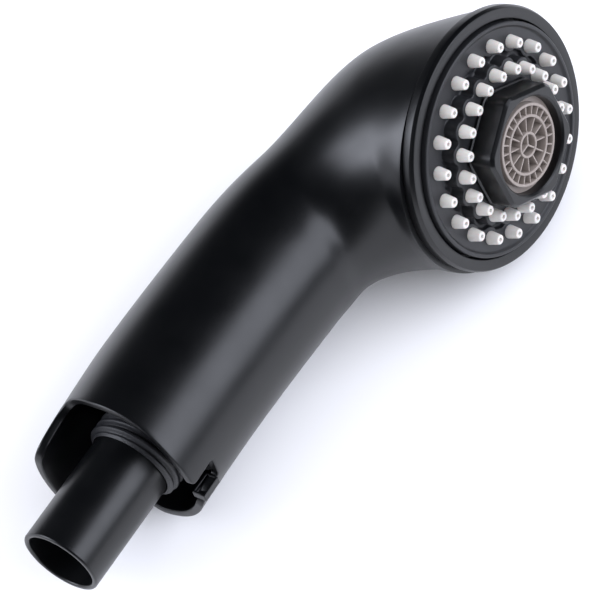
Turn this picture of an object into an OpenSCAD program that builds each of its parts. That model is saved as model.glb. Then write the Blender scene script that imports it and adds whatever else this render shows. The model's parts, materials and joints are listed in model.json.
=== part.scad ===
// Pull-down kitchen spray handset: a one-piece bent shell with an open skirt,
// a spray face with two rings of soft nozzles, and a hexagonal collar in the
// middle that carries the stream aerator and turns to change the spray.
// X runs along the handle from the mouth of the hose guide to the head.
// The handset lies on its flank on a flat surface, skirt and rim both down.

/* [Overall] */
// distance from the guide's mouth to the axis of the spray face
face_x = 124.8; // [112:0.2:150]
// distance from the handle's axis to the plane of the head's widest rim
face_d = 31.5; // [28:0.5:38]
// radius of the head at its widest rim
rim_r = 28.5; // [27.6:0.1:32]
// roll about the handle's axis at which handle and head both touch the surface
lay_roll = 22.5; // [15:0.5:30]

/* [Shell] */
// mean radius of the skirt near its mouth
mouth_r = 17.7; // [17:0.1:20]
// mean radius of the handle at its middle
handle_r = 18.0; // [17:0.1:20]
// how far the middle of the handle bows towards its back
handle_bow = 1.6; // [0:0.1:3]
// thickness of the shell's moulded wall
wall = 1.8; // [1.4:0.1:2.4]
// X of the skirt's edge on the spray side
mouth_front_x = 25.8; // [22:0.2:30]
// X of the tongue that reaches out at the back
mouth_back_x = 16.2; // [12:0.2:22]
// width of the docking slot across the skirt
slot_w = 5.4; // [4.8:0.1:7]
// X of the closed end of the docking slot
slot_end_x = 33.1; // [29:0.1:35]
// angle of the slot around the skirt, from the back
slot_turn = 194.5; // [175:0.5:205]

/* [Inlet] */
// outer radius of the hose guide sleeve
sleeve_r = 8.8; // [8.4:0.05:9]
// bore radius of the hose guide sleeve
sleeve_bore = 7.6; // [7.3:0.05:7.9]
// minor radius of the M15 x 1 thread that takes the hose end
hose_thread_r = 6.96; // [6.9:0.01:7.1]
// crest radius of the male thread on the boss
thread_r = 10.48; // [10.3:0.01:10.6]
// pitch of the male thread on the boss
thread_pitch = 1.814; // [1.5:0.001:2.2]
// X where the threaded boss starts
boss_x = 25.8; // [24:0.2:28]

/* [Head] */
// outer radius of the face plate
plate_r = 25.2; // [24.8:0.1:25.4]
// height of the outer part of the plate above the rim plane
outer_h = 1.3; // [0.8:0.1:2]
// height of the raised middle of the plate above the rim plane
inner_h = 3.4; // [2.6:0.1:4]
// nozzles in each of the two rings
nozzle_count = 20; // [12:4:24]
// pitch radius of the outer ring of nozzles
outer_ring = 20.85; // [20.4:0.05:21.2]
// pitch radius of the inner ring of nozzles
inner_ring = 15.7; // [15.6:0.05:16]
// base radius of one nozzle
nozzle_r = 1.5; // [1.2:0.05:1.6]
// tip radius of one nozzle
nozzle_tip = 0.95; // [0.8:0.05:1.1]
// length of one nozzle above the plate
nozzle_l = 3; // [2:0.1:4]
// radius of the jet hole in a nozzle
jet_r = 0.35; // [0.25:0.05:0.5]

/* [Collar and aerator] */
// width across the flats of the hexagonal collar
collar_af = 24.2; // [23.8:0.1:24.6]
// height of the collar's front above the rim plane
collar_h = 10; // [9:0.1:12]
// radius of the collar's well
well_r = 10.45; // [10.3:0.05:10.6]
// outer radius of the aerator grid
grid_r = 9; // [8.8:0.05:9.1]
// ribs in the outer zone of the grid
grid_outer_ribs = 24; // [18:1:30]
// ribs in the middle zone of the grid
grid_inner_ribs = 12; // [9:1:15]

/* [Hidden] */
$fn = 64;
BLACK = [0.10, 0.105, 0.115];
PLATE = [0.16, 0.165, 0.175];
SOFT = [0.82, 0.82, 0.83];
TAUPE = [0.46, 0.43, 0.41];
CLEAR = [0.75, 0.76, 0.74];
RUBBER = [0.07, 0.07, 0.075];
STEEL = [0.66, 0.67, 0.69];
RUN = 0.05;
bezel_r = rim_r - 2.35;         // outer radius of the ring that plugs into the shell
rim_drop = 1.8;                 // how far the shell's end stays behind the rim plane
seat_depth = 3.8;               // depth of the bore that takes the bezel ring
plate_gap = 0.4;
hub_r = 11.5;                   // radius of the collar's stem
hub_bore = hub_r + RUN;
cup_r = rim_r - 8.7;            // outer radius of the cup behind the spray face
cup_bore = cup_r - 1.6;
flange_r = rim_r - 5.2;
screw_ring = rim_r - 7;
screw_turn = 720 / nozzle_count; // keeps the screws between nozzles
cup_depth = 13.5;               // depth of the cup behind the spray face
bend_r = face_d - cup_depth;    // centre-line radius of the water tube's elbow
cup_back = -cup_depth;          // local height of the cup's back wall
bulk_x = boss_x + 14.2;         // X of the bulkhead that holds the boss
socket_x = boss_x + 18.8;       // X where the boss's socket starts
valve_x = socket_x + 0.6;
spigot_r = sleeve_r - 0.4;      // the sleeve is thinner where the boss holds it
pilot_r = 11.05;                // boss shoulder that centres it in the bulkhead

// stations of the bent shell: X, offset to the back, half width in the bend's plane,
// half width across it, tilt of the section
SHELL = [
  [10, -1.0, mouth_r - 0.4, mouth_r + 0.2, 0],
  [28, 0.85, mouth_r, mouth_r + 0.15, 0],
  [46, handle_bow, handle_r + 0.15, handle_r - 0.15, 0],
  [face_x - 45.8, 0.5, handle_r + 0.12, handle_r, 2],
  [face_x - 31.2, -0.054 * face_d, handle_r, handle_r, 25],
  [face_x - 9.9, -0.4 * face_d, 0.525 * (handle_r + rim_r), 0.525 * (handle_r + rim_r), 54.5],
  [face_x, 0.2 - face_d, rim_r - 0.05, rim_r - 0.05, 90]];

module lay() {
  rotate([-lay_roll, 0, 0]) children();
}

// local z leaves the spray face, local x runs along the handle
module head() {
  lay() translate([face_x, -face_d, 0]) rotate([90, 0, 0]) children();
}

// local z runs along the handle from the guide's mouth
module along(x = 0) {
  lay() translate([x, 0, 0]) rotate([0, 90, 0]) children();
}

module tube(ro, ri, z0, z1) {
  translate([0, 0, z0]) difference() {
    cylinder(r = ro, h = z1 - z0);
    translate([0, 0, -1]) cylinder(r = ri, h = z1 - z0 + 2);
  }
}

module disc(r, z0, z1) {
  translate([0, 0, z0]) cylinder(r = r, h = z1 - z0);
}

module ring_of(count, radius, turn = 0) {
  for (i = [0:count - 1]) rotate(turn + i * 360 / count) translate([radius, 0, 0]) children();
}

module oring(radius, section, z) {
  rotate_extrude() translate([radius, z]) circle(r = section);
}

// ---- bent shell -------------------------------------------------------------

// smooth curve through the stations: chord-length knots, slopes that never overshoot
KNOTS = [for (i = 0, s = 0; i < len(SHELL);
    s = s + (i + 1 < len(SHELL) ? norm([SHELL[i + 1][0] - SHELL[i][0], SHELL[i + 1][1] - SHELL[i][1]]) : 0),
    i = i + 1) s];
function rise(i, c) = (SHELL[i + 1][c] - SHELL[i][c]) / (KNOTS[i + 1] - KNOTS[i]);
function slope(i, c) = i == 0 ? rise(0, c) : i == len(SHELL) - 1 ? rise(i - 1, c) :
  rise(i - 1, c) * rise(i, c) <= 0 ? 0 :
  2 * rise(i - 1, c) * rise(i, c) / (rise(i - 1, c) + rise(i, c));
function seg(t, i = 0) = (i >= len(SHELL) - 2 || t < KNOTS[i + 1]) ? i : seg(t, i + 1);
function curve(t, c) = let (i = seg(t), h = KNOTS[i + 1] - KNOTS[i], u = (t - KNOTS[i]) / h)
  SHELL[i][c] * (1 + 2 * u) * (1 - u) * (1 - u) + slope(i, c) * h * u * (1 - u) * (1 - u)
  + SHELL[i + 1][c] * u * u * (3 - 2 * u) - slope(i + 1, c) * h * u * u * (1 - u);
function section(t, inset, n) = let (x = curve(t, 0), y = curve(t, 1), a = curve(t, 2) - inset,
    b = curve(t, 3) - inset, p = curve(t, 4))
  [for (j = [0:n - 1]) let (q = 360 * (j + 0.5) / n)
    [x + a * cos(q) * sin(p), y + a * cos(q) * cos(p), b * sin(q)]];

// straight lip that carries the last section on towards the spray face
function lip(inset, y, n) = [for (j = [0:n - 1]) let (q = 360 * (j + 0.5) / n, r = rim_r - 0.05 - inset)
  [face_x + r * cos(q), y, r * sin(q)]];

module shell_solid(inset, steps, n, y_end) {
  last = KNOTS[len(KNOTS) - 1];
  ext = inset > 0 ? [[for (p = section(0, inset, n)) p - [4, 0, 0]]] : [];
  rows = concat(ext, [for (i = [0:steps]) section(last * i / steps, inset, n)], [lip(inset, y_end, n)]);
  m = len(rows);
  pts = [for (r = rows) for (p = r) p];
  side = [for (i = [0:m - 2]) for (j = [0:n - 1]) let (a = i * n + j, b = i * n + (j + 1) % n)
    each [[a, a + n, b + n], [a, b + n, b]]];
  caps = [[for (j = [0:n - 1]) j], [for (j = [n - 1:-1:0]) (m - 1) * n + j]];
  polyhedron(pts, concat(side, caps));
}

// the mouth: nearly square over most of the skirt, with a long tongue at the back
module mouth_cut() {
  f = mouth_front_x;
  b = mouth_back_x;
  translate([0, 0, -40]) linear_extrude(80) polygon([[-30, -60], [f - 4.8, -60], [f, -18.2],
    [f + 3, 7.5], [f + 3.3, 9.8], [f + 3.2, 11.2], [f + 2.6, 12.1], [f + 1.4, 12.6], [b + 4, 13.8],
    [b + 1.8, 14.4], [b + 0.6, 15.4], [b, 17], [b, 60], [-30, 60]]);
}

// docking slot at the spray side of the skirt
module slot_cut() {
  rotate([slot_turn, 0, 0]) translate([0, 9, -slot_w / 2]) cube([slot_end_x, 20, slot_w]);
}

// thickened wall beside the slot, with a pocket in the side that faces it
module slot_frame() {
  l = slot_end_x - mouth_front_x - 1.4;
  rotate([slot_turn, 0, 0]) translate([mouth_front_x + 1.4, mouth_r - 3.9, slot_w / 2]) difference() {
    cube([l, 3.1, 2.2]);
    translate([0.8, 0.7, -1]) cube([l - 1.6, 2, 2]);
  }
}

module body_shell() {
  color(BLACK) lay() difference() {
    union() {
      difference() {
        shell_solid(0, 44, 48, -face_d - 1);
        difference() {
          shell_solid(wall, 30, 48, -face_d - 5);
          translate([bulk_x, 0, 0]) rotate([0, 90, 0]) cylinder(r = 30, h = 3);
        }
      }
      slot_frame();
    }
    translate([bulk_x - 1, 0, 0]) rotate([0, 90, 0]) cylinder(r = pilot_r + RUN, h = 5);
    translate([face_x, seat_depth - face_d, 0]) rotate([90, 0, 0]) cylinder(r = bezel_r + RUN, h = 12);
    translate([face_x - 50, rim_drop - 50 - face_d, -50]) cube([100, 50, 100]);
    mouth_cut();
    slot_cut();
  }
}

// ---- spray face -------------------------------------------------------------

// ring that frames the spray face and plugs into the shell
module bezel_ring() {
  color(BLACK) head() rotate_extrude() polygon([
    [bezel_r, -3.6], [bezel_r, -1.55], [rim_r - 0.2, -1.55], [rim_r, -0.7], [rim_r, 0],
    [rim_r - 0.3, 0.6], [rim_r - 0.9, 1], [plate_r + plate_gap + 0.3, 1], [plate_r + plate_gap, 0.7],
    [plate_r + plate_gap, -2.4], [plate_r - 1.4, -2.4], [plate_r - 1.4, -3.6]]);
}

module nozzle_axes() {
  ring_of(nozzle_count, outer_ring, 180 / nozzle_count) children();
  ring_of(nozzle_count, inner_ring) children();
}

// plate with two levels, parted by a trench whose walls follow the nozzles
module face_plate() {
  color(PLATE) head() difference() {
    union() {
      rotate_extrude() polygon([
        [hub_bore, -5], [12.9, -5], [12.9, -2.4], [plate_r, -2.4], [plate_r, 1.5],
        [plate_r - 0.4, 1.9], [plate_r - 1, 1.9], [plate_r - 1.4, outer_h], [22, outer_h],
        [22, 0.2], [hub_bore, 0.2]]);
      translate([0, 0, 0.1]) linear_extrude(inner_h - 0.1) difference() {
        union() {
          circle(r = inner_ring + 0.9);
          ring_of(nozzle_count, inner_ring) circle(r = 2.2);
        }
        circle(r = hub_bore);
      }
      translate([0, 0, 0.1]) linear_extrude(outer_h - 0.1) union() {
        difference() {
          circle(r = 22.4);
          circle(r = outer_ring - 1.6);
        }
        ring_of(nozzle_count, outer_ring, 180 / nozzle_count) circle(r = 2.4);
      }
    }
    nozzle_axes() disc(nozzle_r + RUN, -3, 6);
    ring_of(4, screw_ring, screw_turn) disc(1.05, -3, 0.4);
  }
}

// silicone mat behind the plate, with every nozzle moulded on
module nozzle_mat() {
  color(SOFT) head() {
    difference() {
      union() {
        tube(flange_r, 13, -3.6, -2.4);
        ring_of(nozzle_count, outer_ring, 180 / nozzle_count) disc(nozzle_r, -2.5, outer_h);
        ring_of(nozzle_count, outer_ring, 180 / nozzle_count) translate([0, 0, outer_h])
          cylinder(r1 = nozzle_r, r2 = nozzle_tip, h = nozzle_l);
        ring_of(nozzle_count, inner_ring) disc(nozzle_r, -2.5, inner_h);
        ring_of(nozzle_count, inner_ring) translate([0, 0, inner_h])
          cylinder(r1 = nozzle_r, r2 = nozzle_tip, h = nozzle_l);
      }
      nozzle_axes() disc(jet_r, -4, 8);
      ring_of(4, screw_ring, screw_turn) disc(1.3, -4, -2);
    }
  }
}

// stiff plate that backs the mat: water comes through its holes and spreads in its shallow recess
module backing_plate() {
  color(CLEAR) head() difference() {
    union() {
      difference() {
        tube(flange_r, 13, -5, -3.6);
        tube(flange_r - 0.7, 13.7, -4.3, -3);
      }
      ring_of(4, screw_ring, screw_turn) disc(1.75, -4.5, -3.6);
    }
    ring_of(nozzle_count, inner_ring) disc(1, -6, -4);
    ring_of(4, screw_ring, screw_turn) disc(1.3, -6, -3);
  }
}

module cup_gasket() {
  color(RUBBER) head() difference() {
    tube(flange_r, cup_bore, -5.6, -5);
    ring_of(4, screw_ring, screw_turn) disc(1.3, -6, -4);
  }
}

module plate_screws() {
  color(STEEL) head() ring_of(4, screw_ring, screw_turn) difference() {
    union() {
      disc(1.05, -7.2, 0.4);
      disc(1.6, -8.6, -7.2);
    }
    translate([-1.2, -0.25, -9]) cube([2.4, 0.5, 1]);
    translate([-0.25, -1.2, -9]) cube([0.5, 2.4, 1]);
  }
}

// ---- water path in the head -------------------------------------------------

// water tube, its elbow and the cup behind the spray face, moulded in one
module waterway_body() {
  color(CLEAR) {
    head() difference() {
      union() {
        disc(cup_r, cup_back, -5.6);
        disc(flange_r, -7.2, -5.6);
      }
      disc(cup_bore, -9, 0);
      disc(cup_bore - 1, cup_back + 1.5, -8);
      disc(5.2, cup_back - 1, 0);
      ring_of(4, screw_ring, screw_turn) disc(1.3, -8, -5);
    }
    lay() difference() {
      union() {
        elbow(7);
        translate([valve_x + 15, 0, 0]) rotate([0, 90, 0])
          cylinder(r = 7, h = face_x - bend_r - valve_x - 15);
        translate([valve_x + 10.2, 0, 0]) rotate([0, 90, 0]) cylinder(r = 7.95, h = 5.2);
      }
      elbow(5.2);
      rotate([0, 90, 0]) cylinder(r = 5.2, h = face_x - bend_r);
      translate([valve_x + 12.2, 0, 0]) rotate([0, 90, 0]) tube(9, 6.85, 0, 1.6);
    }
  }
}

module elbow(r) {
  translate([face_x - bend_r, -bend_r, 0]) rotate_extrude(angle = 90) translate([bend_r, 0]) circle(r = r);
}

// fixed plate with three stream ports near the middle and three spray ports further out
module seat_plate() {
  color(TAUPE) head() difference() {
    union() {
      disc(cup_bore - RUN, -9, -7.4);
      tube(12.7, 11.6, -7.5, -5);
    }
    disc(4.05, -10, -6);
    ring_of(3, 8.6) disc(2.1, -10, -6);
    ring_of(3, 14.8) disc(1.6, -10, -6);
  }
}

// turning disc on the seat plate, with the spindle that the collar drives
module diverter_disc() {
  color(CLEAR) head() difference() {
    union() {
      disc(cup_bore - 1.3, -10.8, -9);
      disc(4, -9.1, -6.6);
      translate([-2.6, -2.6, -6.7]) cube([5.2, 5.2, 1.5]);
    }
    ring_of(3, 8.6) disc(2.2, -12, -8);
    ring_of(3, 14.8, 60) disc(1.6, -12, -8);
    disc(1.1, -9.5, -4);
  }
}

module spindle_screw() {
  color(STEEL) head() difference() {
    union() {
      disc(1.1, -9.5, -5.2);
      disc(2.7, -5.2, -3.6);
    }
    translate([-1.7, -0.35, -4.4]) cube([3.4, 0.7, 2]);
    translate([-0.35, -1.7, -4.4]) cube([0.7, 3.4, 2]);
  }
}

// ---- collar and aerator -----------------------------------------------------

module hexagon(af, corner_r) {
  intersection() {
    rotate(30) circle(r = af / sqrt(3), $fn = 6);
    circle(r = corner_r);
  }
}

// hexagonal grip with the aerator's well, a stem through the plate and a web that drives the spindle
module selector_collar() {
  color(BLACK) head() difference() {
    union() {
      translate([0, 0, inner_h + RUN]) linear_extrude(collar_h - inner_h - RUN)
        hexagon(collar_af, collar_af * 0.555);
      translate([0, 0, inner_h + RUN]) linear_extrude(0.6) hexagon(collar_af + 0.9, collar_af * 0.555 + 0.4);
      disc(hub_r, -6.6, inner_h + 1);
    }
    disc(well_r, -1, collar_h + 1);
    translate([0, 0, collar_h - 0.5]) cylinder(r1 = well_r, r2 = well_r + 0.6, h = 0.6);
    disc(9.4, -5.2, 0);
    difference() {
      disc(9.4, -8, -5);
      disc(4.6, -8.5, -4.5);
      for (i = [0:2]) rotate(60 + 120 * i) translate([0, -1.2, -8.5]) cube([10, 2.4, 4]);
    }
    translate([-2.65, -2.65, -8]) cube([5.3, 5.3, 6]);
    rotate_extrude() polygon([[hub_r - 1.1, -3.6], [hub_r + 1, -3.6], [hub_r + 1, -2], [hub_r - 1.1, -2]]);
  }
}

module collar_seal() {
  color(RUBBER) head() oring(hub_r - 0.525, 0.57, -2.8);
}

module aerator_seal() {
  color(RUBBER) head() tube(10.2, 8.2, -1, 0);
}

module aerator_housing() {
  color(TAUPE) head() difference() {
    disc(well_r - RUN, 0, 7.4);
    disc(grid_r + RUN, 2.5, 9);
    disc(8, -1, 3);
  }
}

// disc that breaks the stream into fine jets
module jet_plate() {
  color(CLEAR) head() difference() {
    disc(grid_r, 2.5, 3.9);
    ring_of(18, 7.2) disc(0.45, 2, 4.5);
    ring_of(12, 5) disc(0.45, 2, 4.5);
    ring_of(6, 2.6) disc(0.45, 2, 4.5);
  }
}

// two alike mesh screens in their rims
module mixing_screens() {
  color(STEEL) head() for (z = [3.9, 4.7]) {
    tube(grid_r, 8.3, z, z + 0.8);
    intersection() {
      disc(8.35, z + 0.2, z + 0.6);
      union() {
        for (i = [-3:3]) translate([i * 2.3 - 0.2, -9, z + 0.2]) cube([0.4, 18, 0.4]);
        for (i = [-3:3]) translate([-9, i * 2.3 - 0.2, z + 0.2]) cube([18, 0.4, 0.4]);
      }
    }
  }
}

// open grid of rings and ribs that the stream leaves by
module aerator_grid() {
  color(TAUPE) head() union() {
    tube(grid_r, grid_r - 0.65, 5.5, collar_h - 1);
    tube(6.5, 5.9, 5.5, collar_h - 1);
    tube(2.8, 2.3, 5.5, collar_h - 1);
    for (i = [0:grid_outer_ribs - 1]) rotate(i * 360 / grid_outer_ribs)
      translate([6.4, -0.2, 5.5]) cube([grid_r - 6.8, 0.4, collar_h - 7]);
    for (i = [0:grid_inner_ribs - 1]) rotate(i * 360 / grid_inner_ribs)
      translate([2.7, -0.2, 5.5]) cube([3.3, 0.4, collar_h - 7]);
    for (i = [0:2]) rotate(60 + i * 120) translate([0, -0.25, 5.5]) cube([2.4, 0.5, collar_h - 7]);
  }
}

// ---- inlet ------------------------------------------------------------------

// one flat-crested helical ridge, grown from the boss's root cylinder
module thread_ridge(r0, r1, pitch, turns, z0) {
  n = 36;
  steps = n * turns;
  pts = [for (i = [0:steps]) let (q = i * 360 / n, z = z0 + pitch * i / n, f = min(1, i / 6, (steps - i) / 6),
      c = r0 + (r1 - r0) * f)
    each [[r0 - 0.15, z - 0.32 * pitch, q], [c, z - 0.14 * pitch, q], [c, z + 0.14 * pitch, q],
      [r0 - 0.15, z + 0.32 * pitch, q]]];
  xyz = [for (p = pts) [p[0] * cos(p[2]), p[0] * sin(p[2]), p[1]]];
  side = [for (i = [0:steps - 1]) for (k = [0:3]) let (a = 4 * i + k, b = 4 * i + (k + 1) % 4)
    each [[a, b, b + 4], [a, b + 4, a + 4]]];
  polyhedron(xyz, concat([[3, 2, 1, 0]], side, [[4 * steps, 4 * steps + 1, 4 * steps + 2, 4 * steps + 3]]));
}

// threaded boss in the skirt, clamped to the bulkhead, with the hose thread and the valve's socket inside
module inlet_boss() {
  root = thread_r - 0.75;
  color(BLACK) along() difference() {
    union() {
      disc(root, boss_x, bulk_x + 0.2);
      disc(pilot_r, bulk_x + RUN, bulk_x + 3.1);
      disc(14.2, bulk_x + 3, bulk_x + 5.4);
      disc(10.4, bulk_x + 5.3, valve_x + 15);
      thread_ridge(root, thread_r, thread_pitch, 7, boss_x + 1.3);
    }
    disc(sleeve_r + 0.35, boss_x - 1, boss_x + 6.5);
    disc(spigot_r + RUN, boss_x + 6, boss_x + 10.2);
    disc(hose_thread_r, boss_x + 9, socket_x + 1);
    disc(hose_thread_r + 0.35, socket_x - 1.2, socket_x + 1);
    disc(8, socket_x, valve_x + 20);
  }
}

module lock_nut() {
  color(BLACK) along() difference() {
    translate([0, 0, bulk_x - 3.4]) linear_extrude(3.4) difference() {
      circle(r = 14.2);
      ring_of(6, 14.6) circle(r = 1.4);
    }
    disc(thread_r + 0.03, bulk_x - 5, bulk_x + 2);
  }
}

// plain tube that the hose enters by
module guide_sleeve() {
  color(BLACK) along() rotate_extrude() polygon([[sleeve_bore, 0.4], [sleeve_bore + 0.3, 0],
    [sleeve_r - 0.4, 0], [sleeve_r, 0.4], [sleeve_r, boss_x - 0.4], [spigot_r, boss_x - 0.2],
    [spigot_r, boss_x + 10.2], [sleeve_bore, boss_x + 10.2]]);
}

module hose_washer() {
  color(RUBBER) along() tube(hose_thread_r + 0.2, 3.6, valve_x - 1.6, valve_x);
}

// cage of the check valve: seat at the hose side, spider guide at the other
module check_housing() {
  color(CLEAR) along() difference() {
    union() {
      tube(7.95, 6.6, valve_x, valve_x + 10);
      tube(7, 4.2, valve_x, valve_x + 1.6);
      tube(3.2, 1.55, valve_x + 8.8, valve_x + 10);
      for (i = [0:2]) rotate(120 * i) translate([3, -0.8, valve_x + 8.8]) cube([4, 1.6, 1.2]);
    }
    disc(4.2, valve_x - 1, valve_x + 2);
  }
}

// disc and stem that the water pushes off the seat
module check_poppet() {
  color(SOFT) along() {
    disc(5.4, valve_x + 2.4, valve_x + 3.6);
    disc(1.5, valve_x + 3.5, valve_x + 11);
  }
}

module check_seal() {
  color(RUBBER) along() tube(5.4, 3.4, valve_x + 1.6, valve_x + 2.4);
}

module spigot_seal() {
  color(RUBBER) along() oring(7.425, 0.57, valve_x + 13);
}

// coil that holds the check valve shut
module check_spring() {
  n = 24;
  m = 8;
  turns = 4;
  len = 5.2 - 0.6;
  pts = [for (i = [0:n * turns]) for (j = [0:m - 1]) let (q = 360 * i / n, r = 2.4 + 0.3 * cos(360 * j / m))
    [r * cos(q), r * sin(q), valve_x + 3.9 + len * i / (n * turns) + 0.3 * sin(360 * j / m)]];
  side = [for (i = [0:n * turns - 1]) for (j = [0:m - 1]) let (a = i * m + j, b = i * m + (j + 1) % m)
    each [[a, b + m, b], [a, a + m, b + m]]];
  e = n * turns * m;
  color(STEEL) along()
    polyhedron(pts, concat([[for (j = [0:m - 1]) j]], side, [[for (j = [m - 1:-1:0]) e + j]]));
}

body_shell();
bezel_ring();
face_plate();
nozzle_mat();
backing_plate();
cup_gasket();
plate_screws();
waterway_body();
seat_plate();
diverter_disc();
spindle_screw();
selector_collar();
collar_seal();
aerator_seal();
aerator_housing();
jet_plate();
mixing_screens();
aerator_grid();
inlet_boss();
lock_nut();
guide_sleeve();
spigot_seal();
hose_washer();
check_housing();
check_poppet();
check_seal();
check_spring();
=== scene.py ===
# %% [markdown]
# # A pull-down kitchen spray handset
# The real object is a black moulded shell bent towards a round spray face. Two rings of soft
# nozzles surround a hexagonal collar, and the collar holds a small grid that calms the stream.
# At the other end an open skirt hides a threaded boss and the plain tube that the hose enters by.
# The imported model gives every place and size, so the lesson starts by loading it.

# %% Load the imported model
import json
import math

import bmesh
import bpy
import numpy as np
from mathutils import Matrix, Vector


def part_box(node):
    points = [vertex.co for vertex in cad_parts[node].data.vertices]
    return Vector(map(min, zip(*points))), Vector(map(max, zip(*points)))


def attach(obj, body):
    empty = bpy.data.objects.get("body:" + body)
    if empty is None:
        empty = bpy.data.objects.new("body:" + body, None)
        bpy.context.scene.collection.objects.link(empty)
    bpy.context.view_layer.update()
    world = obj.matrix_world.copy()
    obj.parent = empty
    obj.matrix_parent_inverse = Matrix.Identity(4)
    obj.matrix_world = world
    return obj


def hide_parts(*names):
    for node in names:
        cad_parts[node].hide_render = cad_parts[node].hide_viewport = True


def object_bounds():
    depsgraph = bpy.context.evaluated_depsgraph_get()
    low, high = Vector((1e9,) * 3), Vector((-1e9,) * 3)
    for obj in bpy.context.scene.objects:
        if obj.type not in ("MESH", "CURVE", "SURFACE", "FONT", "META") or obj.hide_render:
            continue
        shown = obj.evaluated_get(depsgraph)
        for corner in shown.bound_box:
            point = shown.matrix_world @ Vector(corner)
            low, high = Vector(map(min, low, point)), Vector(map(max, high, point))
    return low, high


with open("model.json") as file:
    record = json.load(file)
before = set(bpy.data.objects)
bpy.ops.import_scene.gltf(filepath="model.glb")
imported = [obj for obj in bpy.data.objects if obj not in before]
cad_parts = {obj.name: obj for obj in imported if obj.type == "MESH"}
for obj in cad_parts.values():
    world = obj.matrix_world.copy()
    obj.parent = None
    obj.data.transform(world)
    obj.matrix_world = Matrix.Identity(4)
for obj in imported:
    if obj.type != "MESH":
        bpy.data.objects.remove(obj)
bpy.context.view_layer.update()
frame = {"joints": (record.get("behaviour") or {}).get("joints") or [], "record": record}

MM = 0.001

# %% [markdown]
# ## Two places to build from
# The handle's axis is the X axis. The handset lies on its flank, so the plane in which it bends is
# rolled about X. Pieces are worked out in the unrolled frame, in millimetres, where the spray face
# looks straight along -Y, and one function rolls them into place. The turning joint of the collar
# says where the face is and how far the handset is rolled.

# %% Main sizes, in millimetres
turn = next(j for j in frame["joints"] if j["name"] == "selector_turn")
LAY = math.atan2(turn["axis"][2], -turn["axis"][1])
FACE_X = turn["pos_m"][0] / MM
FACE_D = math.hypot(turn["pos_m"][1], turn["pos_m"][2]) / MM
bezel_low, bezel_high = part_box("bezel_ring")
RIM_R = (bezel_high[0] - bezel_low[0]) / 2 / MM
mounts = {m["name"]: m for m in frame["record"]["mounts"]}
SLEEVE_R = mounts["hose_guide"]["dims"]["r_mm"]
BOSS_X = mounts["boss_thread"]["pos_m"][0] / MM
SEAT_X = mounts["hose_thread"]["pos_m"][0] / MM
print("roll %.1f deg, face at x %.1f, %.1f off the axis, rim radius %.2f"
      % (math.degrees(LAY), FACE_X, FACE_D, RIM_R))


def to_row(points):
    """Rolls points about the X axis by the lay angle and turns millimetres into metres."""
    x, y, z = np.moveaxis(np.asarray(points, float), -1, 0)
    c, s = math.cos(LAY), math.sin(LAY)
    return np.stack([x, y * c + z * s, z * c - y * s], -1) * MM


def on_face(x, y, h):
    """Place of a point x along the handle, y across it and h out of the rim plane of the head."""
    x, y, h = np.broadcast_arrays(x, y, h)
    return to_row(np.stack([FACE_X + x, -FACE_D - h, y], -1))


def on_handle(x, y, h):
    """Place of a point whose height h is counted along the handle from the guide's mouth."""
    x, y, h = np.broadcast_arrays(x, y, h)
    return to_row(np.stack([h, x, y], -1))


# %% [markdown]
# ## From arrays to meshes
# A turned or moulded piece is a grid of points: rows follow the outline of its section and columns
# go round it. Moulded edges are never sharp, so each corner of an outline becomes a small arc,
# which catches a thin line of light. Points that meet at a seam or a pole are merged, and the
# faces are turned to point outwards.

# %% Outline and mesh helpers
def rounded(corners, steps=5, closed=True):
    """Outline with arcs at its corners. Each corner is [x, y, radius]. The arc is a weighted
    quadratic curve between the two tangent points, which is an exact circle arc."""
    c = np.array([list(p) + [0] * (3 - len(p)) for p in corners], float)
    xy, radius = c[:, :2], c[:, 2]
    back, ahead = np.roll(xy, 1, 0) - xy, np.roll(xy, -1, 0) - xy
    if not closed:
        radius[[0, -1]] = 0
    back_len = np.linalg.norm(back, axis=1, keepdims=True)
    ahead_len = np.linalg.norm(ahead, axis=1, keepdims=True)
    back, ahead = back / back_len, ahead / ahead_len
    half = np.arccos(np.clip((back * ahead).sum(1), -1, 1)) / 2
    reach = np.minimum(radius / np.tan(half), 0.48 * np.minimum(back_len, ahead_len)[:, 0])
    out = []
    for p, u, v, length, w in zip(xy, back, ahead, reach, np.sin(half)):
        if length < 1e-6:
            out.append(p[None])
            continue
        s = np.linspace(0, 1, steps)[:, None]
        a, b = p + u * length, p + v * length
        weight = (1 - s) ** 2 + 2 * w * s * (1 - s) + s ** 2
        out.append(((1 - s) ** 2 * a + 2 * w * s * (1 - s) * p + s ** 2 * b) / weight)
    return np.concatenate(out)


def quads(rows, cols, wrap_rows, wrap_cols):
    """Faces of a grid: each joins a point to its next column, next row and both."""
    i = np.arange(rows if wrap_rows else rows - 1)[:, None]
    j = np.arange(cols if wrap_cols else cols - 1)[None, :]
    next_i, next_j = (i + 1) % rows, (j + 1) % cols
    return np.stack([i * cols + j, i * cols + next_j, next_i * cols + next_j, next_i * cols + j],
                    -1).reshape(-1, 4)


def lathe(profile, place, segments=128, closed=True):
    """Points of a turned piece: each [radius, height] of the profile goes round the axis."""
    p = np.asarray(profile)
    a = np.linspace(0, 2 * np.pi, segments, endpoint=False)
    return place(p[:, :1] * np.cos(a), p[:, :1] * np.sin(a), p[:, 1:2]), closed, True


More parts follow.
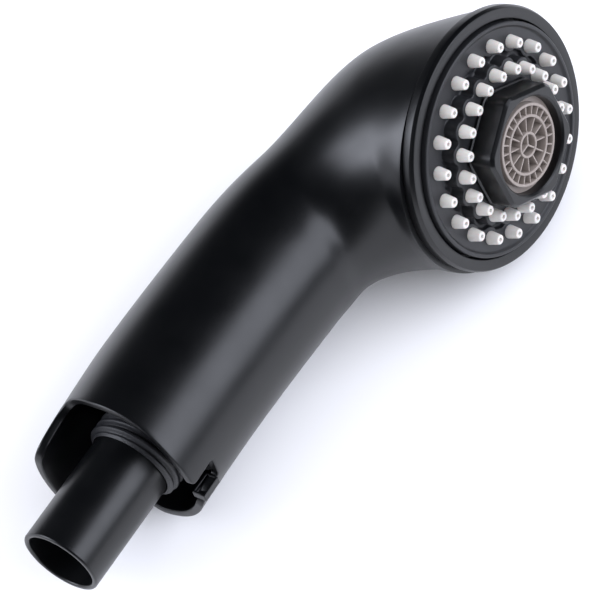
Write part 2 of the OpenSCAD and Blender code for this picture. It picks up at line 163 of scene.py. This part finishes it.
def add_piece(name, grids, finish, body, nodes, sharp=35):
    """One object from (points, wrap_rows, wrap_cols) grids, on a body, in place of CAD nodes."""
    points, faces, start = [], [], 0
    for grid, wrap_rows, wrap_cols in grids:
        points.append(grid.reshape(-1, 3))
        faces.append(quads(grid.shape[0], grid.shape[1], wrap_rows, wrap_cols) + start)
        start += len(points[-1])
    mesh = bpy.data.meshes.new(name)
    mesh.from_pydata(np.concatenate(points).tolist(), [], np.concatenate(faces).tolist())
    work = bmesh.new()
    work.from_mesh(mesh)
    bmesh.ops.remove_doubles(work, verts=work.verts, dist=2e-7)
    bmesh.ops.dissolve_degenerate(work, edges=work.edges, dist=1e-8)
    bmesh.ops.recalc_face_normals(work, faces=work.faces)
    work.to_mesh(mesh)
    work.free()
    mesh.polygons.foreach_set("use_smooth", np.ones(len(mesh.polygons), bool))
    mesh.set_sharp_from_angle(angle=math.radians(sharp))
    mesh.materials.append(finish)
    piece = bpy.data.objects.new(name, mesh)
    bpy.context.scene.collection.objects.link(piece)
    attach(piece, body)
    if nodes:
        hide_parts(*nodes)
    size = (np.ptp(np.concatenate(points), axis=0) / MM).round(1)
    print(name, "faces", len(mesh.polygons), "size mm", size)
    return piece


# %% [markdown]
# ## Finishes
# Every finish starts from the real material. The shell is ABS moulded in black and sprayed with a
# satin lacquer: light gathers in broad soft bands. The face plate is bare ABS from a spark-eroded
# mould, so it carries a fine grain. The nozzles are cast silicone, the grid is acetal, and the few
# metal parts are stainless steel. Grain comes from noise whose scale is a size in millimetres.

# %% Colour and node helpers
def linear(code, alpha=1.0):
    """Turns an sRGB hex colour into the linear values that the shader works in."""
    srgb = np.array([int(code[i:i + 2], 16) for i in (1, 3, 5)]) / 255
    low, high = srgb / 12.92, ((srgb + 0.055) / 1.055) ** 2.4
    return (*np.where(srgb <= 0.04045, low, high).tolist(), alpha)


def add_node(tree, kind, links=(), **settings):
    """Adds one node. Settings name a property or an input socket; links are (socket, source)."""
    node = tree.nodes.new("ShaderNode" + kind)
    for key, value in settings.items():
        key = key.replace("_", " ") if key[0].isupper() else key
        if key in node.inputs:
            node.inputs[key].default_value = value
        else:
            setattr(node, key, value)
    for socket, source in links:
        tree.links.new(source, node.inputs[socket])
    return node


def noise_of(tree, size_mm, detail=2.0):
    """Noise on object coordinates whose features are about size_mm across."""
    place = add_node(tree, "TexCoord")
    return add_node(tree, "TexNoise", [("Vector", place.outputs["Object"])],
                    Scale=1 / (size_mm * MM), Detail=detail, Roughness=0.55)


def moulded(name, dark, light, rough, grain_mm, grain_depth, patch_mm=9.0, **surface):
    """A moulded or lacquered finish: the colour and the gloss drift a little in wide patches,
    and a fine grain of grain_mm stands grain_depth out of the surface."""
    finish = bpy.data.materials.new(name)
    finish.use_nodes = True
    tree = finish.node_tree
    shader = tree.nodes["Principled BSDF"]
    for socket, value in surface.items():
        shader.inputs[socket.replace("_", " ")].default_value = value
    patches = noise_of(tree, patch_mm, 3.0)
    colour = add_node(tree, "Mix", [(0, patches.outputs["Fac"])], data_type="RGBA")
    colour.inputs[6].default_value = linear(dark)
    colour.inputs[7].default_value = linear(light)
    gloss = add_node(tree, "MapRange", [("Value", patches.outputs["Fac"])],
                     To_Min=rough - 0.03, To_Max=rough + 0.03)
    gloss.inputs["From Min"].default_value = 0.3
    gloss.inputs["From Max"].default_value = 0.7
    grain = noise_of(tree, grain_mm)
    bump = add_node(tree, "Bump", [("Height", grain.outputs["Fac"])],
                    Strength=1.0, Distance=grain_depth * MM)
    tree.links.new(colour.outputs[2], shader.inputs["Base Color"])
    tree.links.new(gloss.outputs["Result"], shader.inputs["Roughness"])
    tree.links.new(bump.outputs["Normal"], shader.inputs["Normal"])
    finish.diffuse_color = linear(light)
    return finish


# %% The finishes
# satin lacquer over black ABS: a polymer's IOR, middling gloss, an almost flat orange peel
satin_black_ABS = moulded("satin_black_ABS", "#040507", "#07080a", 0.34, 0.9, 0.0022, IOR=1.5)
# spark-eroded ABS: drier than the lacquer, with a grain of about a quarter of a millimetre
eroded_black_ABS = moulded("eroded_black_ABS", "#191a1d", "#1e1f22", 0.46, 0.26, 0.012, IOR=1.53)
# bare ABS of the threads: coarse, drawn at 0.35 mm so that it shows
rough_black_ABS = moulded("rough_black_ABS", "#0e0f12", "#222327", 0.46, 0.35, 0.12, IOR=1.53)
# cast silicone: pale, soft sheen, some light passes under its skin
cast_silicone = moulded("cast_silicone", "#c8c5c1", "#d3d0cc", 0.44, 0.4, 0.006, 4.0,
                        IOR=1.42, Subsurface_Weight=0.12, Subsurface_Scale=0.0006)
# moulded acetal, the taupe of a stream insert
taupe_acetal = moulded("taupe_acetal", "#857b76", "#938a84", 0.4, 0.3, 0.006, 3.0, IOR=1.48)
# unpigmented acetal of the pieces inside
natural_acetal = moulded("natural_acetal", "#dcdad2", "#e6e4dc", 0.42, 0.5, 0.004, 6.0, IOR=1.48)
# cured EPDM of the seals: dry and nearly matt
cured_EPDM = moulded("cured_EPDM", "#101011", "#181819", 0.68, 0.3, 0.02, 4.0, IOR=1.52)
# drawn stainless steel of the screws, screens and coil
drawn_stainless = moulded("drawn_stainless", "#a9abad", "#b9bbbd", 0.3, 0.2, 0.006, 3.0,
                          Metallic=1.0)
print("finishes:", [m.name for m in bpy.data.materials if m.users == 0])

# %% [markdown]
# ## The bent shell
# The shell is one moulding: a round handle that grows and tilts into the round head. It could be
# sculpted, but a few sections say it all. Each section has a place on the path, two half widths
# and a tilt, and a smooth curve runs through them. The wall is the same surface again, a wall's
# thickness further in.

# %% Sections of the shell
MOUTH_R = 17.7
HANDLE_R = 18.0
HANDLE_BOW = 1.6
WALL = 1.8
RIM_DROP = 1.8
SECTIONS = np.array([
    # x, offset to the back, half width in the bend's plane, half width across it, tilt
    [10, -1.0, MOUTH_R - 0.4, MOUTH_R + 0.2, 0],
    [28, 0.85, MOUTH_R, MOUTH_R + 0.15, 0],
    [46, HANDLE_BOW, HANDLE_R + 0.15, HANDLE_R - 0.15, 0],
    [FACE_X - 45.8, 0.5, HANDLE_R + 0.12, HANDLE_R, 2],
    [FACE_X - 31.2, -0.054 * FACE_D, HANDLE_R, HANDLE_R, 25],
    [FACE_X - 9.9, -0.4 * FACE_D, 0.525 * (HANDLE_R + RIM_R), 0.525 * (HANDLE_R + RIM_R), 54.5],
    [FACE_X, 0.2 - FACE_D, RIM_R - 0.05, RIM_R - 0.05, 90],
])
steps_between = np.diff(SECTIONS, axis=0)
KNOTS = np.concatenate([[0], np.cumsum(np.hypot(steps_between[:, 0], steps_between[:, 1]))])
rise = steps_between / np.diff(KNOTS)[:, None]
both = rise[:-1] + rise[1:]
inner_slopes = np.where(rise[:-1] * rise[1:] > 0,
                        2 * rise[:-1] * rise[1:] / np.where(np.abs(both) < 1e-12, 1, both), 0)
SLOPES = np.concatenate([rise[:1], inner_slopes, rise[-1:]])
print("path length %.1f mm" % KNOTS[-1])


def section_at(t):
    """The five section values at distance t along the path: a cubic through the sections, whose
    slope at each one is the harmonic mean of its two neighbours' slopes."""
    t = np.asarray(t, float)
    i = np.clip(np.searchsorted(KNOTS, t, side="right") - 1, 0, len(KNOTS) - 2)
    gap = KNOTS[i + 1] - KNOTS[i]
    u = ((t - KNOTS[i]) / gap)[..., None]
    gap = gap[..., None]
    value = SECTIONS[i] * (1 + 2 * u) * (1 - u) ** 2 + SLOPES[i] * gap * u * (1 - u) ** 2
    return value + SECTIONS[i + 1] * u * u * (3 - 2 * u) - SLOPES[i + 1] * gap * u * u * (1 - u)


def shell_points(t, q, inset):
    """Points of the shell: the section at t is an ellipse, q is the angle round it from the
    back, and the section leans by its tilt about the flank."""
    x, y, a, b, tilt = np.moveaxis(section_at(t), -1, 0)
    p = np.radians(tilt)
    a, b = a - inset, b - inset
    return np.stack([x + a * np.cos(q) * np.sin(p), y + a * np.cos(q) * np.cos(p), b * np.sin(q)], -1)


# %% [markdown]
# ## The edge of the skirt
# Unrolled, the skirt's edge is an outline: a tongue at the back, two steep shoulders, a nearly
# square edge round the spray side, and a slot that docks on the spout. The outline has rounded
# corners and is laid on the shell as angle and distance. Columns of the shell's grid start at
# points spread evenly along this edge, then fan out until they are even round the handle.

# %% Outline of the mouth
SKIRT_R = 17.8
SLOT_TURN = 194.0
SLOT_HALF = math.degrees(2.7 / SKIRT_R)
SLOT_END = 33.1
TONGUE_X = 16.4
SHOULDER_X = 28.6
edge_corners = [  # degrees round from the back, x, corner radius
    [-38, TONGUE_X, 5.0], [38, TONGUE_X, 5.0], [52, SHOULDER_X, 5.0],
    [87, 27.4, 12], [125, 27.1, 20], [156, 26.1, 20],
    [SLOT_TURN - SLOT_HALF, 25.9, 1.3],
    [SLOT_TURN - SLOT_HALF, SLOT_END, 0.5], [SLOT_TURN + SLOT_HALF, SLOT_END, 0.5],
    [SLOT_TURN + SLOT_HALF + 1, 29.0, 4.0], [214, 26.8, 3.0], [240, 26.8, 20], [273, 27.0, 12],
    [308, SHOULDER_X, 5.0],
]
unrolled = [[math.radians(a) * SKIRT_R, x, r] for a, x, r in edge_corners]
turn_round = 2 * math.pi * SKIRT_R
before = [[s - turn_round, x, r] for s, x, r in unrolled]
after = [[s + turn_round, x, r] for s, x, r in unrolled]
edge_line = rounded(before + unrolled + after, steps=9, closed=False)

COLUMNS = 360
length_at = np.concatenate([[0], np.cumsum(np.linalg.norm(np.diff(edge_line, axis=0), axis=1))])
first = np.interp(0.0, edge_line[:, 0], length_at)
last = np.interp(turn_round, edge_line[:, 0], length_at)
spots = first + (last - first) * np.arange(COLUMNS) / COLUMNS
edge = np.stack([np.interp(spots, length_at, edge_line[:, k]) for k in (0, 1)], -1)
print("edge length %.0f mm, a column each %.2f mm" % (last - first, (last - first) / COLUMNS))

# %% [markdown]
# ## Wall, lip and rim of the shell
# Rows run from the inside of the head, along the inside of the handle, round the small radius of
# the lip, and back along the outside to the head. Every column ends on one flat rim.

# %% Build the shell
LIP_R = 0.35
ahead = np.roll(edge, -1, 0)
ahead[-1, 0] += turn_round
behind = np.roll(edge, 1, 0)
behind[0, 0] -= turn_round
tangent = ahead - behind
tangent /= np.linalg.norm(tangent, axis=1, keepdims=True)
into_wall = np.stack([-tangent[:, 1], tangent[:, 0]], -1)

window = np.exp(-0.5 * (np.arange(-40, 41) / 14.0) ** 2)
window /= window.sum()
padded_s = np.concatenate([edge[-40:, 0] - turn_round, edge[:, 0], edge[:40, 0] + turn_round])
even_s = np.convolve(padded_s, window, mode="valid")

t_table = np.linspace(0, KNOTS[-1], 4000)
x_table = section_at(t_table)[:, 0]
JOIN_X = 46.0
t_join = np.interp(JOIN_X, x_table, t_table)


def rim_t(q, inset):
    """Distance along the path at which each column reaches the flat rim: where its offset falls
    to the rim plane, found in a table."""
    t = np.linspace(KNOTS[-1] * 0.75, KNOTS[-1], 500)
    y = shell_points(t[:, None], q[None, :], inset)[..., 1]
    goal = RIM_DROP - FACE_D
    under = np.argmax(y <= goal, axis=0)
    k = np.arange(len(q))
    share = (y[under - 1, k] - goal) / (y[under - 1, k] - y[under, k])
    return t[under - 1] + share * (t[under] - t[under - 1])


def skin(inset, near_rows, far_rows):
    """One side of the wall: near rows fan from the edge to the joining section, where the
    columns are even, and far rows run on to the rim."""
    start = edge + LIP_R * into_wall
    t_edge = np.interp(start[:, 1], x_table, t_table)
    v = np.linspace(0, 1, near_rows)[:, None]
    ease = v * v * (3 - 2 * v)
    near_t = t_edge + (t_join - t_edge) * v
    near_q = (start[:, 0] + (even_s - start[:, 0]) * ease) / SKIRT_R
    end_q = even_s / SKIRT_R
    w = np.linspace(0, 1, far_rows)[1:, None]
    far_t = t_join + (rim_t(end_q, inset) - t_join) * w
    far_q = np.broadcast_to(end_q, far_t.shape)
    return shell_points(np.concatenate([near_t, far_t]), np.concatenate([near_q, far_q]), inset)


def lip_rows(angles, inset_of):
    """Rows of a lip: at each angle the row stands off the edge by one minus its sine."""
    rows = []
    for angle in angles:
        off = LIP_R * (1 - math.sin(angle))
        spot = edge + off * into_wall
        t = np.interp(spot[:, 1], x_table, t_table)
        rows.append(shell_points(t, spot[:, 0] / SKIRT_R, inset_of(LIP_R * (1 - math.cos(angle)))))
    return np.stack(rows)


quarter = np.linspace(0, np.pi / 2, 5)
outside = skin(0.0, 26, 120)
inside = skin(WALL, 14, 40)
# the bore that takes the bezel: points near the rim are pushed out to its radius
SEAT_R = RIM_R - 2.3
SEAT_DEPTH = 3.9
reach = np.hypot(inside[..., 0] - FACE_X, inside[..., 2])
in_seat = (inside[..., 1] < SEAT_DEPTH - FACE_D) & (reach < SEAT_R)
push = np.where(in_seat, SEAT_R / np.maximum(reach, 1), 1)
inside[..., 0] = FACE_X + (inside[..., 0] - FACE_X) * push
inside[..., 2] *= push
inner_lip = lip_rows(quarter[1:], lambda d: WALL - d)
outer_lip = lip_rows(quarter[:0:-1], lambda d: d)
shell_grid = np.concatenate([inside[::-1], inner_lip, outer_lip, outside])
add_piece("bent_shell", [(to_row(shell_grid), True, True)], satin_black_ABS,
          "handset", ["body_shell"], sharp=50)

# %% [markdown]
# ## The pocketed wall beside the slot
# One side of the docking slot is thicker, with a shallow pocket in the face that looks into the
# slot. A block with its pocket pressed in is eight points for the block and eight for the pocket,
# and a bevel rounds every edge.

# %% Slot wall
def pocket_block(low, high, rim, depth):
    """A block from low to high. The pocket is the face at the lowest z drawn in by rim and then
    pressed depth up into the block."""
    (x0, y0, z0), (x1, y1, z1) = low, high
    square = np.array([[0, 0], [1, 0], [1, 1], [0, 1]])
    rows = [((x0, x1), (y0, y1), z1), ((x0, x1), (y0, y1), z0),
            ((x0 + rim, x1 - rim), (y0 + rim, y1 - rim), z0),
            ((x0 + rim, x1 - rim), (y0 + rim, y1 - rim), z0 + depth)]
    corners = [[[xs[u], ys[v], z] for u, v in square] for xs, ys, z in rows]
    middle = [[[(x0 + x1) / 2, (y0 + y1) / 2, z]] * 4 for z in (z1, z0 + depth)]
    return np.array([middle[0]] + corners + [middle[1]])


block = pocket_block((27.2, 13.9, 2.72), (SLOT_END - 0.6, 17.0, 4.6), 0.5, 1.0)
c, s = math.cos(math.radians(SLOT_TURN)), math.sin(math.radians(SLOT_TURN))
turned = np.stack([block[..., 0], block[..., 1] * c - block[..., 2] * s,
                   block[..., 1] * s + block[..., 2] * c], -1)
slot_wall = add_piece("slot_wall", [(to_row(turned), False, True)], satin_black_ABS,
                      "handset", [], sharp=30)
bevel = slot_wall.modifiers.new("edges", "BEVEL")
bevel.width = 0.18 * MM
bevel.segments = 3

# %% [markdown]
# ## Hose guide and threaded boss
# The guide is a plain tube with a rounded mouth. The boss round it has a male pipe thread. A
# thread could be a swept ridge, but as a height on a grid it needs no join: the radius rises
# wherever the distance along the boss, less the lead of the turn so far, falls on a crest.

# %% Guide and boss
GUIDE_BORE = 7.6
guide_profile = rounded([[GUIDE_BORE, 0, 0.5], [SLEEVE_R, 0, 0.5], [SLEEVE_R, SEAT_X],
                         [GUIDE_BORE, SEAT_X]], steps=6)
add_piece("hose_guide_tube", [lathe(guide_profile, on_handle, 160)], satin_black_ABS,
          "handset", ["guide_sleeve"])

CREST_R = 10.48
ROOT_R = 9.6
PITCH = 1.814
BULKHEAD_X = BOSS_X + 14.2
SOCKET_X = BOSS_X + 18.8
boss_back = rounded([[11.05, BULKHEAD_X - 0.6], [11.05, SOCKET_X - 1.6], [14.2, SOCKET_X - 1.6, 0.4],
                     [14.2, SOCKET_X + 0.8, 0.4], [10.4, SOCKET_X + 0.8], [10.4, BOSS_X + 34.4],
                     [8.0, BOSS_X + 34.4], [8.0, SOCKET_X], [6.96, SOCKET_X], [6.96, SEAT_X],
                     [SLEEVE_R + 0.05, SEAT_X], [SLEEVE_R + 0.05, BOSS_X + 6.2],
                     [SLEEVE_R + 0.3, BOSS_X + 6], [SLEEVE_R + 0.3, BOSS_X]], closed=False)
thread_x = np.linspace(BOSS_X, BULKHEAD_X - 0.6, 130)[:, None]
around = np.linspace(0, 2 * np.pi, 144, endpoint=False)[None, :]
phase = (thread_x - BOSS_X - 1.3) / PITCH - around / (2 * np.pi)
ridge = np.clip(1.35 - 2.9 * np.abs(phase - np.round(phase)), 0, 1)
ridge = ridge * ridge * (3 - 2 * ridge)
ridge = ridge * np.clip((thread_x - BOSS_X - 0.5) / 0.7, 0, 1)
thread_r = ROOT_R + (CREST_R - ROOT_R) * ridge - 0.35 * np.clip(1 - (thread_x - BOSS_X) / 0.5, 0, 1)
thread_r[-1] = ROOT_R
boss_r = np.concatenate([thread_r, np.repeat(boss_back[:, :1], 144, 1)])
boss_h = np.concatenate([np.repeat(thread_x, 144, 1), np.repeat(boss_back[:, 1:], 144, 1)])
boss_grid = on_handle(boss_r * np.cos(around), boss_r * np.sin(around), boss_h)
add_piece("threaded_boss", [(boss_grid, True, True)], rough_black_ABS,
          "handset", ["inlet_boss"], sharp=55)

# %% [markdown]
# ## Bezel ring
# A ring plugs into the shell's end and frames the spray face. Its section is drawn once, with the
# radii that a mould leaves, and turned.

# %% Bezel
PLATE_R = 25.2
gap_r = PLATE_R + 0.4
bezel_r = RIM_R - 2.35
bezel_profile = rounded([
    [bezel_r, -3.6], [bezel_r, -1.75], [RIM_R - 0.08, -1.75, 0.05], [RIM_R, 0.1, 0.5],
    [RIM_R - 0.45, 1, 0.3], [gap_r, 1, 0.3], [gap_r, -2.4], [PLATE_R - 1.4, -2.4],
    [PLATE_R - 1.4, -3.6]])
add_piece("bezel", [lathe(bezel_profile, on_face, 224)], satin_black_ABS,
          "handset", ["bezel_ring"])

# %% [markdown]
# ## Face plate
# The plate has a raised middle and a lower outer band, parted by a trench. Both walls of the
# trench bulge round the nozzles beside them. In polar form each wall is one curve: the larger (or
# smaller) of a plain circle and the circles round the nozzles, softened where they meet.

# %% Face plate
COUNT = 20
OUTER_RING, INNER_RING = 20.85, 15.7
OUTER_H, INNER_H = 1.3, 3.4
STEM_R = 11.55


def wavy(angles, pitch_r, lobe_r, plain_r, offset, side):
    """Radius of a trench wall: where a ray meets the lobe round the nearest nozzle, joined to a
    plain circle by a soft maximum (side 1) or minimum (side -1)."""
    step = 2 * np.pi / COUNT
    off = (angles - offset + step / 2) % step - step / 2
    across = pitch_r * np.sin(off)
    room = np.maximum(lobe_r ** 2 - across ** 2, 0.01)
    lobe = pitch_r * np.cos(off) + side * np.sqrt(room)
    soft = 0.14
    return side * soft * np.log(np.exp(side * lobe / soft) + np.exp(side * plain_r / soft))


plate_turn = np.linspace(0, 2 * np.pi, 480, endpoint=False)
inner_wall = wavy(plate_turn, INNER_RING, 2.25, 16.6, 0.0, 1)
outer_wall = wavy(plate_turn, OUTER_RING, 2.4, 19.25, math.pi / COUNT, -1)
flat = np.ones_like(plate_turn)


def edge_arc(wall, h, radius, side, rising, steps=4):
    """Rows of a rounded edge: a quarter circle between the level h and the wall's radius."""
    out = []
    for a in np.linspace(0, math.pi / 2, steps):
        off, drop = radius * (1 - math.sin(a)), radius * (1 - math.cos(a))
        out.append((wall - side * off, (h - drop) * flat))
    return out if rising else out[::-1]


plate_rows = [(STEM_R * flat, -5 * flat), (STEM_R * flat, (INNER_H - 0.2) * flat),
              ((STEM_R + 0.2) * flat, INNER_H * flat)]
plate_rows += [(STEM_R + 0.2 + (inner_wall - 0.3 - STEM_R - 0.2) * k, INNER_H * flat)
               for k in (0.25, 0.5, 0.75)]
plate_rows += edge_arc(inner_wall, INNER_H, 0.3, 1, True)
plate_rows += [(inner_wall + 0.08, 0.35 * flat), (inner_wall + 0.2, 0.2 * flat),
               (outer_wall - 0.2, 0.2 * flat), (outer_wall - 0.08, 0.35 * flat)]
plate_rows += edge_arc(outer_wall, OUTER_H, 0.3, -1, False)
plate_rows += [(outer_wall + (23.4 - outer_wall) * k, OUTER_H * flat) for k in (0.35, 0.7, 1)]
lip = rounded([[23.4, OUTER_H], [23.9, OUTER_H, 0.5], [24.4, 1.95, 0.3], [25.2, 1.95, 0.35],
               [25.2, -2.4], [12.9, -2.4], [12.9, -5]], steps=6, closed=False)[1:]
plate_rows += [(r * flat, h * flat) for r, h in lip]
plate_r, plate_h = (np.stack(rows) for rows in zip(*plate_rows))
plate_grid = on_face(plate_r * np.cos(plate_turn), plate_r * np.sin(plate_turn), plate_h)
add_piece("spray_plate", [(plate_grid, True, True)], eroded_black_ABS,
          "handset", ["face_plate"], sharp=60)
print("trench from %.2f..%.2f to %.2f..%.2f mm" % (inner_wall.min(), inner_wall.max(),
                                                   outer_wall.min(), outer_wall.max()))

# %% [markdown]
# ## Soft nozzles
# All forty nozzles are one casting on a mat behind the plate, so that a thumb can rub the lime
# off. Each is the same turned shape, a blunt cone with a small jet hole in its tip. One profile is
# turned once and copied by adding its place, as arrays.

# %% Nozzles and their mat
nozzle = rounded([[1.5, -1.2], [1.5, 0.25, 0.6], [1.04, 2.85, 0.3], [0.42, 2.85, 0.1],
                  [0.33, 2.1], [0, 2.1]], steps=5, closed=False)
angle = 2 * np.pi * np.arange(COUNT) / COUNT
nozzle_turn = np.linspace(0, 2 * np.pi, 28, endpoint=False)
nozzle_grids = []
for ring_r, start, level in ((OUTER_RING, math.pi / COUNT, OUTER_H), (INNER_RING, 0.0, INNER_H)):
    for a in angle + start:
        x = ring_r * math.cos(a) + nozzle[:, :1] * np.cos(nozzle_turn)
        y = ring_r * math.sin(a) + nozzle[:, :1] * np.sin(nozzle_turn)
        nozzle_grids.append((on_face(x, y, level + nozzle[:, 1:]), False, True))
mat_profile = rounded([[13.0, -3.6], [23.3, -3.6], [23.3, -2.4], [13.0, -2.4]])
nozzle_grids.append(lathe(mat_profile, on_face, 96))
add_piece("soft_nozzles", nozzle_grids, cast_silicone, "handset", ["nozzle_mat"])

# %% [markdown]
# ## Hexagonal collar
# The collar is gripped by its six flats and turns to change the spray. Its outline is a radius
# for each angle: the nearest flat, softly limited by a circle at the corners. Rows take that
# outline up the flats, round the front edge, across the front and down into the round well.

# %% Collar
FLATS = 24.2
WELL_R = 10.45
COLLAR_H = 10.0
hex_turn = np.linspace(0, 2 * np.pi, 360, endpoint=False)
from_flat = (hex_turn + np.pi / 6) % (np.pi / 3) - np.pi / 6
to_flat = FLATS / 2 / np.cos(from_flat)
corner_limit = FLATS * 0.555
hexagon = -0.09 * np.log(np.exp(-to_flat / 0.09) + np.exp(-corner_limit / 0.09))
one = np.ones_like(hex_turn)
collar_rows = [(11.5 * one, -6.6), (11.5 * one, 3.44)]
collar_rows += [(hexagon + out, h) for out, h in rounded(
    [[-0.6, 3.45], [0.45, 3.45, 0.12], [0.45, 4.1, 0.15], [0.0, 4.25, 0.1],
     [0.0, COLLAR_H - 0.75, 0.5], [-0.7, COLLAR_H, 0.4], [-0.95, COLLAR_H]],
    steps=6, closed=False)]
collar_rows += [(r * one, h) for r, h in rounded(
    [[WELL_R + 0.75, COLLAR_H], [WELL_R + 0.5, COLLAR_H, 0.2], [WELL_R, COLLAR_H - 0.5, 0.3],
     [WELL_R, -1], [9.4, -1], [9.4, -6.6]], steps=6, closed=False)]
collar_r = np.stack([r for r, h in collar_rows])
collar_h = np.array([h for r, h in collar_rows])[:, None]
collar_grid = on_face(collar_r * np.cos(hex_turn), collar_r * np.sin(hex_turn), collar_h)
add_piece("hexagonal_collar", [(collar_grid, True, True)], satin_black_ABS,
          "selector", ["selector_collar"], sharp=40)

# %% [markdown]
# ## Stream grid
# The insert in the well ends in a grid of three rings joined by thin ribs. A rib is a bar with a
# rounded top, drawn once and turned into every place with one array product.

# %% Stream grid
GRID_TOP = COLLAR_H - 1
grid_parts = []
for low_r, high_r in ((8.3, 9.0), (5.9, 6.55), (2.25, 2.85)):
    ring = rounded([[low_r, 5.5], [high_r, 5.5], [high_r, GRID_TOP, 0.2], [low_r, GRID_TOP, 0.2]])
    grid_parts.append(lathe(ring, on_face, 144))


def ribs(count, low_r, high_r, thick, top, start=0.0):
    """Radial bars: a section with a rounded top, drawn from low_r to high_r and turned."""
    section = rounded([[-thick / 2, 5.6], [thick / 2, 5.6], [thick / 2 * 0.8, top, 0.12],
                       [-thick / 2 * 0.8, top, 0.12]], steps=4)
    centre = section.mean(0, keepdims=True).repeat(len(section), 0)
    parts = []
    for a in start + 2 * np.pi * np.arange(count) / count:
        rows = [(low_r, centre), (low_r, section), (high_r, section), (high_r, centre)]
        x = np.array([r * math.cos(a) - s[:, 0] * math.sin(a) for r, s in rows])
        y = np.array([r * math.sin(a) + s[:, 0] * math.cos(a) for r, s in rows])
        h = np.array([s[:, 1] for r, s in rows])
        parts.append((on_face(x, y, h), False, True))
    return parts


grid_parts += ribs(24, 6.4, 8.45, 0.42, GRID_TOP - 0.15)
grid_parts += ribs(12, 2.7, 6.05, 0.42, GRID_TOP - 0.3)
grid_parts += ribs(3, 0.0, 2.4, 0.5, GRID_TOP - 0.15, math.pi / 3)
add_piece("stream_grid", grid_parts, taupe_acetal, "selector", ["aerator_grid"])

# %% [markdown]
# ## The pieces inside
# The water path, its seals, screws and valves keep their exact shapes. They only need a finish,
# chosen by the material that the record gives each one.

# %% Finishes of the carried pieces
by_slot = {"shell_black": satin_black_ABS, "face_black": eroded_black_ABS,
           "collar_black": satin_black_ABS, "silicone_grey": cast_silicone,
           "taupe_acetal": taupe_acetal, "natural_acetal": natural_acetal,
           "seal_rubber": cured_EPDM, "stainless": drawn_stainless}
slot_of = {s["node"]: s["material_slot"] for s in frame["record"]["subparts"]}
for node, slot in slot_of.items():
    carried = bpy.data.objects.get(node)
    for place in carried.material_slots:
        place.material = by_slot[slot]
print("finished", len(slot_of), "nodes")

# %% [markdown]
# ## Floor, lights and camera
# The handset lies on a pale floor. A large soft light low on the spray side draws the broad band
# along the handle, and a smaller one across from it lights the neck. A wide light overhead opens
# the floor and drops a soft shadow. That light and the sky are left out of the reflections, so the
# lacquer stays black where it faces up.

# %% Floor
floor_mesh = bpy.data.meshes.new("floor")
far = 3.0
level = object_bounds()[0][2] - 0.0002
floor_mesh.from_pydata([(-far, -far, level), (far, -far, level), (far, far, level), (-far, far, level)],
                       [], [(0, 1, 2, 3)])
floor = bpy.data.objects.new("floor", floor_mesh)
bpy.context.scene.collection.objects.link(floor)
paper = bpy.data.materials.new("pale_paper")
paper.use_nodes = True
paper.node_tree.nodes["Principled BSDF"].inputs["Base Color"].default_value = linear("#f4f4f6")
paper.node_tree.nodes["Principled BSDF"].inputs["Roughness"].default_value = 0.9
floor_mesh.materials.append(paper)

# %% Camera
camera_back = Vector((-0.41961, -0.34409, 0.83996))
camera_up = Vector((0.73887, 0.40803, 0.53626))
camera_right = camera_up.cross(camera_back)
camera = bpy.data.objects.new("camera", bpy.data.cameras.new("camera"))
bpy.context.scene.collection.objects.link(camera)
camera.matrix_world = Matrix.Translation((-0.23108, -0.26175, 0.61620)) @ Matrix(
    (camera_right, camera_up, camera_back)).transposed().to_4x4()
camera.data.lens = 210
camera.data.sensor_width = 36
camera.data.clip_start = 0.05
bpy.context.scene.camera = camera

# %% Lights
middle = Vector((0.08, -0.01, 0.0))


def soft_light(name, direction, distance, size, power, tint, in_gloss=True):
    """A rectangular soft light that looks at the middle of the handset."""
    data = bpy.data.lights.new(name, "AREA")
    data.shape = "RECTANGLE"
    data.size, data.size_y = size
    data.energy = power
    data.color = linear(tint)[:3]
    lamp = bpy.data.objects.new(name, data)
    way = Vector(direction).normalized()
    lamp.matrix_world = Matrix.Translation(middle + way * distance) @ way.to_track_quat(
        "Z", "Y").to_matrix().to_4x4()
    lamp.visible_glossy = in_gloss
    bpy.context.scene.collection.objects.link(lamp)


soft_light("band_light", (0.38, -0.70, 0.60), 0.75, (0.82, 0.55), 6.2, "#eef2ff")
soft_light("neck_light", (-0.60, 0.66, 0.44), 0.80, (0.46, 0.40), 4.9, "#eef2ff")
soft_light("floor_light", (-0.12, 0.0, 0.99), 1.3, (2.6, 2.6), 10.0, "#ffffff", in_gloss=False)
world = bpy.data.worlds.new("dim_sky")
world.use_nodes = True
world.node_tree.nodes["Background"].inputs["Color"].default_value = linear("#e4e5ea")
world.node_tree.nodes["Background"].inputs["Strength"].default_value = 0.8
bpy.context.scene.world = world
world.cycles_visibility.glossy = False
bpy.context.scene.view_settings.view_transform = "Standard"
